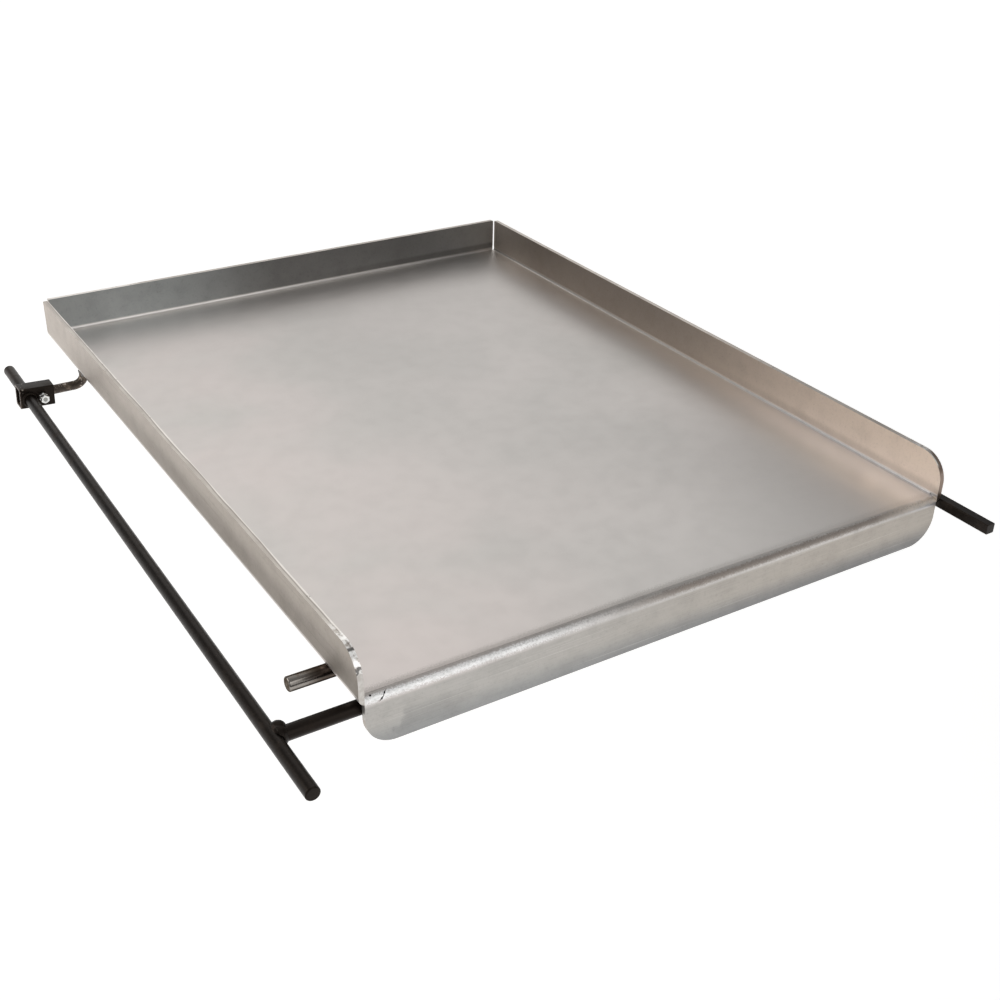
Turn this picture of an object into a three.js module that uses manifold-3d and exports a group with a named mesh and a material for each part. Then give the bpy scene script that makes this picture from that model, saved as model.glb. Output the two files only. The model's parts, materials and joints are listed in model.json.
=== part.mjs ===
// A flat top griddle: one folded steel pan with three raised sides and a turned-down front lip, a square
// rest rail along its right side, and on its left a black rail that slides in and out to suit the grill
// below it. Millimetres, +Z up, +X to the right and +Y to the back. The griddle hangs between two ledges by
// its rails, so the origin is midway between the rails' outer sides and midway along the whole object, at
// the height of the square rail's underside.
import * as THREE from "three";
import { mergeVertices } from "three/addons/utils/BufferGeometryUtils.js";
import Module from "manifold-3d";

const wasm = await Module();
wasm.setup();

// ---- driving dimensions -------------------------------------------------------------------------------
const PAN_WIDTH = 584.2; // outside, left wall to right wall
const PAN_DEPTH = 762; // outside, lip face to back wall
const PLATE = 4.76; // thickness of the folded plate
const WALL_RISE = 38.6; // top of the walls above the cooking surface
const LIP_DROP = 44; // bottom of the front lip below the cooking surface
const INNER_BEND = 2.4; // inside radius of every fold
const CORNER_RADIUS = 25.4; // front corners of the side walls and both corners of the lip
const REAR_CORNER_RADIUS = 1.6; // rear corners of the side walls and both corners of the back wall
const SLIT = 1; // open slit between the back wall and each side wall
const RELIEF_RADIUS = 1.2; // round relief hole at the foot of each slit
const RELIEF_STEP = 0.1; // what the reliefs at the front corners leave standing, or take off the walls
const GAP = 0.3; // clearance between pieces that touch or are welded together

const ROD_RADIUS = 6; // 12 mm round bar
const LEFT_RAIL_RADIUS = 5.8;
const ROD_CHAMFER = 0.8;
const RAIL_FRONT_Y = -54; // both rails stand this far out in front of the lip
const RAIL_REAR_Y = 713;
const LEFT_RAIL_X = -65.1; // at the cross rod
const LEFT_RAIL_TOE_IN = 0.007; // radians: the left rail leans this little towards the pan at its rear end
const CARRIER_Z = -14.6; // height of the left rail and of its front cross rod
const CROSS_ROD_Y = 12.4;
const CROSS_ROD_END_X = 330;

const SQUARE_BAR = { side: 9.525, z: -7.5, edge: 0.7 };
const RAIL_BEADS = { count: 4, length: 30, first: 6, last: 700, radius: 2.8 };

const STUB = { y: 57.9, from: -33.9, to: 62, beadFrom: 14, beadTo: 50 };

const CLAMP_TUBE = { length: 34.5, depth: 17.6, height: 21.6, wall: 2, corner: 1.6, y: 639 };
const CLAMP_TUBE_SET = { overhang: 9.8, rise: 1.3, tilt: 0.05 }; // how the tube is welded on the left rail
const ARM_RADIUS = 4.76; // 3/8 inch round bar
const ARM_Y = 639.8;
const ARM_Z = -13.2;
const ARM_END_GAP = 1.5; // between the arm's end and the left rail, inside the clamp tube
const ARM_BEND = { startX: -12.5, radius: 11.5, angle: 1.48 };

const SCREW = { radius: 2.4, fromRail: 12.8, standOff: 6.5 };
const THREAD_HOLE_RADIUS = 2.7;
const HEX = { acrossFlats: 8, height: 3.8, chamfer: 0.8 };

const KEEPER = { width: 36, thickness: 3.2, clearance: 0.35, centres: [60, 285] };
const BEAD_RADIUS = 3.2; // fillet welds
const STUB_BEAD_RADIUS = 3.8;
const RAIL_BEAD_INSET = 1.4; // the rail's beads sit this far inside the wall's outer face
const ARM_BEAD_RISE = 5;
const TEE_COLLAR = { fromRailAxis: 3, width: 3.2, height: 6.5 };
const TEE_HEAP = { radius: 6, offset: [5.8, 3.6, 3] }; // from the rail's axis
const TUBE_BEAD = { width: 1.9, height: 1.8 };

// ---- derived dimensions -------------------------------------------------------------------------------
// Everything is laid out from the inner face of the left wall (x = 0), the face of the lip (y = 0) and the
// cooking surface (z = 0).
const INNER_WIDTH = PAN_WIDTH - 2 * PLATE;
const INNER_DEPTH = PAN_DEPTH - PLATE;
const OUTER_BEND = INNER_BEND + PLATE;
const SIDE_WALL_END = INNER_DEPTH - SLIT;
const UNDERSIDE_Z = -PLATE - GAP; // highest level of what is welded under the pan
const SQUARE_BAR_X = INNER_WIDTH + PLATE + GAP + SQUARE_BAR.side / 2;
const leftRailX = (y) => LEFT_RAIL_X + (y - CROSS_ROD_Y) * Math.tan(LEFT_RAIL_TOE_IN);
const TUBE_RAIL_X = leftRailX(CLAMP_TUBE.y);
const TUBE_FRONT_Y = CLAMP_TUBE.y - CLAMP_TUBE.depth / 2;
const TUBE_REAR_Y = CLAMP_TUBE.y + CLAMP_TUBE.depth / 2;
const SCREW_AXIS = [TUBE_RAIL_X + SCREW.fromRail, 0, ARM_Z];

const X = new THREE.Vector3(1, 0, 0);
const Y = new THREE.Vector3(0, 1, 0);
const Z = new THREE.Vector3(0, 0, 1);
const LEFT = X.clone().negate();
const FORWARD = Y.clone().negate();
const DOWN = Z.clone().negate();

// ---- solids -------------------------------------------------------------------------------------------
function solidOf(geometry) {
  const bare = geometry.index ? geometry.toNonIndexed() : geometry.clone();
  bare.deleteAttribute("normal");
  bare.deleteAttribute("uv");
  const merged = mergeVertices(bare, 1e-4);
  return new wasm.Manifold(
    new wasm.Mesh({
      numProp: 3,
      vertProperties: merged.attributes.position.array,
      triVerts: new Uint32Array(merged.index.array),
    }),
  );
}

function geometryOf(solid) {
  const { vertProperties, triVerts } = solid.getMesh();
  const geometry = new THREE.BufferGeometry();
  geometry.setAttribute("position", new THREE.BufferAttribute(vertProperties, 3));
  geometry.setIndex(new THREE.BufferAttribute(triVerts, 1));
  geometry.computeVertexNormals();
  return geometry;
}

const joined = (first, ...others) => others.reduce((sum, solid) => sum.add(solid), first);
const cut = (solid, ...cutters) => cutters.reduce((left, cutter) => left.subtract(cutter), solid);

// An outline whose x runs along u and y along v, extruded along u cross v from the point "from".
function extruded(shape, length, u, v, from, curveSegments = 10) {
  const geometry = new THREE.ExtrudeGeometry(shape, { depth: length, bevelEnabled: false, curveSegments });
  geometry.applyMatrix4(new THREE.Matrix4().makeBasis(u, v, new THREE.Vector3().crossVectors(u, v)));
  return solidOf(geometry.translate(...from));
}

function block(low, high) {
  const size = high.map((value, i) => value - low[i]);
  const centre = high.map((value, i) => (value + low[i]) / 2);
  return solidOf(new THREE.BoxGeometry(...size).translate(...centre));
}

// A profile of [radius, distance along the axis] pairs turned about the axis through the point "centre".
function turned(profile, axis, centre, segments = 32) {
  const points = profile.map(([radius, along]) => new THREE.Vector2(radius, along));
  const geometry = new THREE.LatheGeometry(points, segments);
  geometry.applyQuaternion(new THREE.Quaternion().setFromUnitVectors(Y, axis));
  return solidOf(geometry.translate(...centre));
}

// A round bar along an axis through "centre", with a small chamfer at both ends.
function roundBar(radius, axis, from, to, centre, chamfer = ROD_CHAMFER) {
  const profile = [
    [0, from],
    [radius - chamfer, from],
    [radius, from + chamfer],
    [radius, to - chamfer],
    [radius - chamfer, to],
    [0, to],
  ];
  return turned(profile, axis, centre);
}

// A ring with a rounded, weld-like section, standing on a flat face around a bar.
function ringBead(innerRadius, width, height, axis, centre) {
  const profile = [
    [innerRadius, 0],
    [innerRadius + width, 0],
    [innerRadius + 0.85 * width, 0.55 * height],
    [innerRadius + 0.45 * width, 0.9 * height],
    [innerRadius, height],
    [innerRadius, 0],
  ];
  return turned(profile, axis, centre, 28);
}

// A straight run of weld metal between two points, cut back to clear the pieces it joins.
function weldBead(from, to, radius, ...clear) {
  const start = new THREE.Vector3(...from);
  const run = new THREE.Vector3(...to).sub(start);
  const bead = new THREE.CapsuleGeometry(radius, run.length(), 4, 14);
  bead.applyQuaternion(new THREE.Quaternion().setFromUnitVectors(Y, run.clone().normalize()));
  bead.translate(...start.addScaledVector(run, 0.5));
  return cut(solidOf(bead), ...clear);
}

// What is cut off a square corner to round it. u and v point inwards along the corner's two edges, and the
// cutter reaches the same way to both sides of the plane they lie in.
function cornerCutter(corner, u, v, radius) {
  const over = 1;
  const reach = 3 * PLATE;
  const waste = new THREE.Shape();
  waste.moveTo(-over, -over);
  waste.lineTo(radius, -over);
  waste.lineTo(radius, 0);
  waste.absarc(radius, radius, radius, 1.5 * Math.PI, Math.PI, true);
  waste.lineTo(-over, radius);
  waste.closePath();
  const normal = new THREE.Vector3().crossVectors(u, v);
  const from = new THREE.Vector3(...corner).addScaledVector(normal, -reach);
  return extruded(waste, 2 * reach, u, v, from.toArray(), 14);
}

// ---- the folded pan -----------------------------------------------------------------------------------
// Section of an upturned edge: x runs inwards from the wall's inner face, y up from the cooking surface.
// "grow" thickens it on the outside, for cutting clearances.
function upturnedEdge(grow = 0) {
  const section = new THREE.Shape();
  section.moveTo(-PLATE - grow, WALL_RISE);
  section.lineTo(-PLATE - grow, INNER_BEND);
  section.absarc(INNER_BEND, INNER_BEND, OUTER_BEND + grow, Math.PI, 1.5 * Math.PI, false);
  section.lineTo(INNER_BEND, 0);
  section.absarc(INNER_BEND, INNER_BEND, INNER_BEND, 1.5 * Math.PI, Math.PI, true);
  section.lineTo(0, WALL_RISE);
  section.closePath();
  return section;
}

// Section of the front lip: x runs back from the lip's face, y up from the cooking surface.
function downturnedLip() {
  const section = new THREE.Shape();
  section.moveTo(0, -LIP_DROP);
  section.lineTo(PLATE, -LIP_DROP);
  section.lineTo(PLATE, -OUTER_BEND);
  section.absarc(OUTER_BEND, -OUTER_BEND, INNER_BEND, Math.PI, 0.5 * Math.PI, true);
  section.lineTo(OUTER_BEND, 0);
  section.absarc(OUTER_BEND, -OUTER_BEND, OUTER_BEND, 0.5 * Math.PI, Math.PI, false);
  section.closePath();
  return section;
}

// What is cut off the front end of a wall's fold, so that it doesn't stand in front of the lip's bend.
// In the outline, x runs back from the lip's face and y up from the cooking surface.
function bendRelief(fromX) {
  const over = 1;
  const waste = new THREE.Shape();
  waste.moveTo(OUTER_BEND + over, INNER_BEND + over);
  waste.lineTo(OUTER_BEND + over, RELIEF_STEP);
  waste.absarc(OUTER_BEND, -OUTER_BEND, OUTER_BEND + RELIEF_STEP, 0.5 * Math.PI, Math.PI, false);
  waste.lineTo(-over, -OUTER_BEND);
  waste.lineTo(-over, INNER_BEND + over);
  waste.closePath();
  return extruded(waste, OUTER_BEND, Y, Z, [fromX, 0, 0]);
}

const leftEdge = (grow) => extruded(upturnedEdge(grow), SIDE_WALL_END, X, Z, [0, SIDE_WALL_END, 0]);
const rightEdge = (grow) => extruded(upturnedEdge(grow), SIDE_WALL_END, LEFT, Z, [INNER_WIDTH, 0, 0]);

function foldedPan() {
  const lapped = 0.05; // how far the flat floor runs into each fold
  const floor = block(
    [INNER_BEND - lapped, OUTER_BEND - lapped, -PLATE],
    [INNER_WIDTH - INNER_BEND + lapped, INNER_DEPTH - INNER_BEND + lapped, 0],
  );
  const backEnd = INNER_WIDTH - SLIT;
  const back = extruded(upturnedEdge(), backEnd - SLIT, FORWARD, Z, [backEnd, INNER_DEPTH, 0]);
  const lip = extruded(downturnedLip(), INNER_WIDTH, Y, Z, [0, 0, 0]);
  const sides = [0, INNER_WIDTH];
  const roundedCorners = sides.flatMap((x) => {
    const inwards = x === 0 ? X : LEFT;
    return [
      cornerCutter([x, 0, WALL_RISE], Y, DOWN, CORNER_RADIUS),
      cornerCutter([x, SIDE_WALL_END, WALL_RISE], FORWARD, DOWN, REAR_CORNER_RADIUS),
      cornerCutter([x + SLIT * inwards.x, INNER_DEPTH, WALL_RISE], inwards, DOWN, REAR_CORNER_RADIUS),
      cornerCutter([x, 0, -LIP_DROP], inwards, Z, CORNER_RADIUS),
    ];
  });
  const reliefHoles = sides.map((x) => {
    const centre = [x === 0 ? SLIT : x - SLIT, SIDE_WALL_END, 0];
    return roundBar(RELIEF_RADIUS, Z, -2 * PLATE, PLATE, centre, 0);
  });
  const bendReliefs = [-RELIEF_STEP, INNER_WIDTH - OUTER_BEND + RELIEF_STEP].map(bendRelief);
  const sheet = joined(floor, leftEdge(), rightEdge(), back, lip);
  return cut(sheet, ...roundedCorners, ...reliefHoles, ...bendReliefs);
}

// ---- round and square bars ----------------------------------------------------------------------------
const crossRodAxis = [0, CROSS_ROD_Y, CARRIER_Z];
const stubAxis = [0, STUB.y, UNDERSIDE_Z - ROD_RADIUS];
const crossRodClearance = () => roundBar(ROD_RADIUS + GAP, X, LEFT_RAIL_X, CROSS_ROD_END_X, crossRodAxis);

function leftRail(grow = 0) {
  const axis = Y.clone().applyAxisAngle(DOWN, LEFT_RAIL_TOE_IN);
  const tee = [LEFT_RAIL_X, CROSS_ROD_Y, CARRIER_Z];
  return roundBar(LEFT_RAIL_RADIUS + grow, axis, RAIL_FRONT_Y - CROSS_ROD_Y, RAIL_REAR_Y - CROSS_ROD_Y, tee);
}

const stub = (grow = 0) => roundBar(ROD_RADIUS + grow, X, STUB.from, STUB.to, stubAxis);
const underPan = () =>
  block([-PAN_WIDTH, -PAN_DEPTH, UNDERSIDE_Z], [2 * PAN_WIDTH, 2 * PAN_DEPTH, WALL_RISE]);

const crossRod = () =>
  cut(roundBar(ROD_RADIUS, X, LEFT_RAIL_X, CROSS_ROD_END_X, crossRodAxis), leftRail(GAP));

function squareSection(side, edge) {
  const half = side / 2;
  const section = new THREE.Shape();
  section.moveTo(-half + edge, -half);
  section.lineTo(half - edge, -half);
  section.lineTo(half, -half + edge);
  section.lineTo(half, half - edge);
  section.lineTo(half - edge, half);
  section.lineTo(-half + edge, half);
  section.lineTo(-half, half - edge);
  section.lineTo(-half, -half + edge);
  section.closePath();
  return section;
}

function squareRail(grow = 0) {
  const section = squareSection(SQUARE_BAR.side + 2 * grow, SQUARE_BAR.edge);
  return extruded(section, RAIL_REAR_Y - RAIL_FRONT_Y, LEFT, Z, [SQUARE_BAR_X, RAIL_FRONT_Y, SQUARE_BAR.z]);
}

// The bare round arm of the rear clamp: it comes out of the clamp tube, then turns up to meet the pan's
// lower left corner.
function armSweep(sectionRadius) {
  const { startX, radius, angle } = ARM_BEND;
  const bendSteps = 10;
  const tip = leftRailX(ARM_Y) + LEFT_RAIL_RADIUS + ARM_END_GAP;
  const points = [new THREE.Vector3(tip, ARM_Y, ARM_Z)];
  for (let step = 0; step <= bendSteps; step++) {
    const turn = (angle * step) / bendSteps;
    const rise = radius * (1 - Math.cos(turn));
    points.push(new THREE.Vector3(startX + radius * Math.sin(turn), ARM_Y, ARM_Z + rise));
  }
  const path = new THREE.CurvePath();
  points.slice(1).forEach((point, i) => path.add(new THREE.LineCurve3(points[i], point)));
  const section = new THREE.Shape().absarc(0, 0, sectionRadius, 0, 2 * Math.PI, false);
  return solidOf(new THREE.ExtrudeGeometry(section, { steps: 22, extrudePath: path, curveSegments: 14 }));
}

const rightOfFold = () => block([INNER_BEND - GAP, 0, UNDERSIDE_Z], [INNER_WIDTH, INNER_DEPTH, WALL_RISE]);
const clampArm = () => cut(armSweep(ARM_RADIUS), leftEdge(GAP), rightOfFold());

// Weld metal round the arm's upper end, on the underside of the fold only.
function armBead() {
  const end = ARM_BEND.startX + ARM_BEND.radius;
  const dome = ringBead(0, ARM_RADIUS + BEAD_RADIUS, ARM_BEAD_RISE, DOWN, [end, ARM_Y, 0]);
  const leftOfWall = block([-PAN_WIDTH, 0, -PAN_WIDTH], [-PLATE, PAN_DEPTH, 0]);
  return cut(dome, armSweep(ARM_RADIUS + GAP), leftEdge(GAP), rightOfFold(), leftOfWall);
}

// ---- the rear clamp -----------------------------------------------------------------------------------
function rectangle(width, height, corner) {
  const [right, top] = [width / 2, height / 2];
  const quarter = Math.PI / 2;
  const outline = new THREE.Shape();
  outline.moveTo(-right + corner, -top);
  outline.absarc(right - corner, -top + corner, corner, -quarter, 0, false);
  outline.absarc(right - corner, top - corner, corner, 0, quarter, false);
  outline.absarc(-right + corner, top - corner, corner, quarter, 2 * quarter, false);
  outline.absarc(-right + corner, -top + corner, corner, 2 * quarter, 3 * quarter, false);
  outline.closePath();
  return outline;
}

function clampTube() {
  const { length, depth, height, wall, corner, y } = CLAMP_TUBE;
  const section = rectangle(depth, height, corner);
  section.holes.push(rectangle(depth - 2 * wall, height - 2 * wall, corner / 2));
  const { overhang, rise, tilt } = CLAMP_TUBE_SET;
  const up = Z.clone().applyAxisAngle(Y, tilt);
  const along = X.clone().applyAxisAngle(Y, tilt);
  const leftEnd = new THREE.Vector3(TUBE_RAIL_X, y, CARRIER_Z + rise).addScaledVector(along, -overhang);
  const tube = extruded(section, length, Y, up, leftEnd.toArray(), 4);
  const threadHole = roundBar(THREAD_HOLE_RADIUS, Y, TUBE_FRONT_Y - wall, CLAMP_TUBE.y, SCREW_AXIS, 0);
  return cut(tube, leftRail(GAP), threadHole);
}

// A chamfered hexagon standing along -Y from "baseY" on the clamp screw's axis.
function hexagon(baseY, height) {
  const cornerRadius = HEX.acrossFlats / Math.sqrt(3);
  const [x, , z] = SCREW_AXIS;
  const prism = new THREE.CylinderGeometry(cornerRadius, cornerRadius, height, 6);
  prism.translate(x, baseY - height / 2, z);
  const rounding = [
    [0, 0],
    [cornerRadius + GAP, 0],
    [cornerRadius + GAP, height - HEX.chamfer],
    [HEX.acrossFlats / 2 - 0.2, height],
    [0, height],
  ];
  return solidOf(prism).intersect(turned(rounding, FORWARD, [x, baseY, z], 24));
}

function clampScrew() {
  const headBase = TUBE_FRONT_Y - SCREW.standOff;
  const tip = ARM_Y - ARM_RADIUS - GAP;
  const shank = roundBar(SCREW.radius, Y, headBase - 1, tip, SCREW_AXIS, 0.5);
  return joined(shank, hexagon(headBase, HEX.height));
}

function lockNut() {
  const base = TUBE_FRONT_Y - GAP;
  const bore = roundBar(THREAD_HOLE_RADIUS, Y, base - 2 * HEX.height, base + 1, SCREW_AXIS, 0);
  return cut(hexagon(base, HEX.height), bore);
}

// ---- keepers that carry the cross rod behind the lip --------------------------------------------------
const KEEPER_BACK_Y = CROSS_ROD_Y + ROD_RADIUS + KEEPER.clearance;

function keeper(centreX, grow = 0) {
  const { width, thickness, clearance } = KEEPER;
  const shelf = CARRIER_Z - ROD_RADIUS - clearance;
  const angle = new THREE.Shape();
  angle.moveTo(PLATE + GAP, shelf - thickness);
  angle.lineTo(KEEPER_BACK_Y + thickness + grow, shelf - thickness);
  angle.lineTo(KEEPER_BACK_Y + thickness + grow, UNDERSIDE_Z + grow);
  angle.lineTo(KEEPER_BACK_Y, UNDERSIDE_Z + grow);
  angle.lineTo(KEEPER_BACK_Y, shelf);
  angle.lineTo(PLATE + GAP, shelf);
  angle.closePath();
  return extruded(angle, width, Y, Z, [centreX - width / 2, 0, 0]);
}

function keeperBead(centreX) {
  const y = KEEPER_BACK_Y + KEEPER.thickness + GAP;
  const half = KEEPER.width / 2 - BEAD_RADIUS;
  const ends = [centreX - half, centreX + half].map((x) => [x, y, UNDERSIDE_Z]);
  return weldBead(...ends, BEAD_RADIUS, underPan(), keeper(centreX, GAP));
}

// ---- the other welds ----------------------------------------------------------------------------------
function stubBead(side) {
  const y = STUB.y + side * ROD_RADIUS;
  const ends = [STUB.beadFrom, STUB.beadTo].map((x) => [x, y, UNDERSIDE_Z]);
  return weldBead(...ends, STUB_BEAD_RADIUS, underPan(), stub(GAP));
}

function railBead(index) {
  const { count, length, first, last, radius } = RAIL_BEADS;
  const start = first + ((last - length - first) * index) / (count - 1);
  const x = INNER_WIDTH + PLATE - RAIL_BEAD_INSET;
  const ends = [start, start + length].map((y) => [x, y, -PLATE - 1]);
  const leftOfFold = block([0, 0, UNDERSIDE_Z], [INNER_WIDTH - INNER_BEND + GAP, INNER_DEPTH, 0]);
  return weldBead(...ends, radius, rightEdge(GAP), squareRail(GAP), leftOfFold);
}

// The lumpy weld where the cross rod butts against the left rail, heaped on its upper rear side.
function teeWeld() {
  const { fromRailAxis, width, height } = TEE_COLLAR;
  const foot = [LEFT_RAIL_X + fromRailAxis, CROSS_ROD_Y, CARRIER_Z];
  const collar = ringBead(ROD_RADIUS - 1, width, height, X, foot);
  const heap = new THREE.SphereGeometry(TEE_HEAP.radius, 18, 12);
  heap.translate(...TEE_HEAP.offset);
  heap.translate(LEFT_RAIL_X, CROSS_ROD_Y, CARRIER_Z);
  return cut(joined(collar, solidOf(heap)), leftRail(GAP), crossRodClearance());
}

function tubeBead(axis, faceY) {
  const foot = [leftRailX(faceY), faceY + GAP * axis.y, CARRIER_Z];
  return ringBead(LEFT_RAIL_RADIUS + GAP, TUBE_BEAD.width, TUBE_BEAD.height, axis, foot);
}

// ---- the assembly -------------------------------------------------------------------------------------
function material(color, roughness, metalness) {
  return new THREE.MeshStandardMaterial({ color, roughness, metalness });
}
const plateSteel = () => material(0xbdb6af, 0.42, 0.9);
const blackPaint = () => material(0x171615, 0.5, 0.2);
const brightBar = () => material(0x6d665f, 0.28, 1);
const millScale = () => material(0x4a4139, 0.55, 0.7);
const zincPlate = () => material(0xd9dad8, 0.25, 1);
const bareWeld = () => material(0x57504a, 0.6, 0.8);

function piece(name, solid, finish) {
  const mesh = new THREE.Mesh(geometryOf(solid), finish);
  mesh.name = name;
  return mesh;
}

const weldedPan = new THREE.Group();
weldedPan.add(
  piece("folded_pan", foldedPan(), plateSteel()),
  piece("right_rest_rail", squareRail(), blackPaint()),
  piece("front_stub_rod", stub(), brightBar()),
  piece("rear_clamp_arm", clampArm(), millScale()),
  piece("rear_arm_weld", armBead(), bareWeld()),
  piece("stub_weld_front", stubBead(-1), bareWeld()),
  piece("stub_weld_rear", stubBead(1), bareWeld()),
);
KEEPER.centres.forEach((x, i) => {
  const side = ["left", "right"][i];
  weldedPan.add(piece(`cross_rod_keeper_${side}`, keeper(x), bareWeld()));
  weldedPan.add(piece(`keeper_weld_${side}`, keeperBead(x), bareWeld()));
});
for (let i = 0; i < RAIL_BEADS.count; i++) {
  weldedPan.add(piece(`rest_rail_weld_${i + 1}`, railBead(i), bareWeld()));
}

const slidingRail = new THREE.Group();
slidingRail.add(
  piece("left_support_rail", leftRail(), blackPaint()),
  piece("front_cross_rod", crossRod(), blackPaint()),
  piece("tee_weld", teeWeld(), blackPaint()),
  piece("rear_clamp_tube", clampTube(), blackPaint()),
  piece("clamp_tube_weld_front", tubeBead(FORWARD, TUBE_FRONT_Y), blackPaint()),
  piece("clamp_tube_weld_rear", tubeBead(Y, TUBE_REAR_Y), blackPaint()),
);

const clampFastener = new THREE.Group();
clampFastener.add(
  piece("clamp_screw", clampScrew(), zincPlate()),
  piece("lock_nut", lockNut(), zincPlate()),
);
slidingRail.add(clampFastener);

const griddle = new THREE.Group();
griddle.add(weldedPan, slidingRail);
const box = new THREE.Box3().setFromObject(griddle, true);
const restHeight = SQUARE_BAR.z - SQUARE_BAR.side / 2;
griddle.position.set(-(box.min.x + box.max.x) / 2, -(box.min.y + box.max.y) / 2, -restHeight);

export default griddle;
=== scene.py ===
"""The looks of a flat top griddle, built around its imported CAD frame.

One folded plate forms the pan: a cooking floor, three raised sides and a turned-down lip. It hangs on two
rails: a square bar welded along its right side, and a round bar on the left that slides with its cross rod
and is held by a screw clamp on a bent arm. Lengths are in millimetres in the pan's own layout, and mm()
turns a point of that layout into metres in the frame."""

import json
import math

import bmesh
import bpy
from mathutils import Matrix, Vector, noise


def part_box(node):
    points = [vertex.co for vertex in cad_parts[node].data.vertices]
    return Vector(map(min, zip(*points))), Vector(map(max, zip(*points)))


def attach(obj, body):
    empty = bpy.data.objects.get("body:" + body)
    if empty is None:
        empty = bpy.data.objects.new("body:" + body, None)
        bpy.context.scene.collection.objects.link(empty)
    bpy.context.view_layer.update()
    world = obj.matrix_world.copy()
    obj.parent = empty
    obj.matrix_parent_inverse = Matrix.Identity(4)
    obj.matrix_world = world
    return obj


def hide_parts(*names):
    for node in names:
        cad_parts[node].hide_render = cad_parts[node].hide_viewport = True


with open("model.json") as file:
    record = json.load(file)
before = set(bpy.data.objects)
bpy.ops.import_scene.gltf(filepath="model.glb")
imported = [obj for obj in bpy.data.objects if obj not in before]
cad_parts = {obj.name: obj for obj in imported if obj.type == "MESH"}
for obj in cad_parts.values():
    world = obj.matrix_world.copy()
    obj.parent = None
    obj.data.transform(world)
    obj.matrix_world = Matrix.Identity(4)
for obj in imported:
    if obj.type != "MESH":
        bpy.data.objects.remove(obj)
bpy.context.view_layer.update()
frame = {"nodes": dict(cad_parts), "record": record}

MM = 0.001

# ---- sizes, in millimetres ---------------------------------------------------------------------------
PLATE = 4.76
LIP_DROP = 44.0
INNER_BEND = 2.4
OUTER_BEND = INNER_BEND + PLATE
ROD_RADIUS = 6.0
HEX_ACROSS = 8.0
HEX_HEIGHT = 3.8
SCREW_RADIUS = 2.4
THREAD = {"depth": 0.42, "pitch": 0.8, "step": 0.1}
NUT_THREAD = {"radius": 2.9, "depth": 0.3}
COUNTERSINK = 3.2  # radius at the rim of the hollow in the screw's head, and at both ends of the nut's bore
HOLLOW_FLOOR = {"radius": 2.6, "depth": 0.25}
TIP_RADII = (1.95, 1.5)
CHAMFER_INSET = 0.35
CHAMFER_RISES = (0.1, 0.25, 0.4, 0.55, 0.7)
CHAMFER_SLOPE = 1.5
WASHER_FACE = 0.3
TURNED_SIDES = 48

pan_low, pan_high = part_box("folded_pan")
LAYOUT = Vector((pan_low.x + PLATE * MM, pan_low.y, pan_low.z + LIP_DROP * MM))


def mm(x, y, z):
    """A point of the pan's layout: x from the left wall's inner face, y from the lip, z from the floor."""
    return LAYOUT + Vector((x, y, z)) * MM


def layout(point):
    """The layout coordinates of a point in the frame."""
    return (point - LAYOUT) / MM


def layout_box(node):
    low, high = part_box(node)
    return layout(low), layout(high)


INNER_WIDTH = layout(pan_high).x - PLATE
INNER_DEPTH = layout(pan_high).y - PLATE
SCREW_AXIS = sum(layout_box("clamp_screw"), Vector()) / 2
HEAD_FRONT = layout_box("clamp_screw")[0].y


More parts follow.
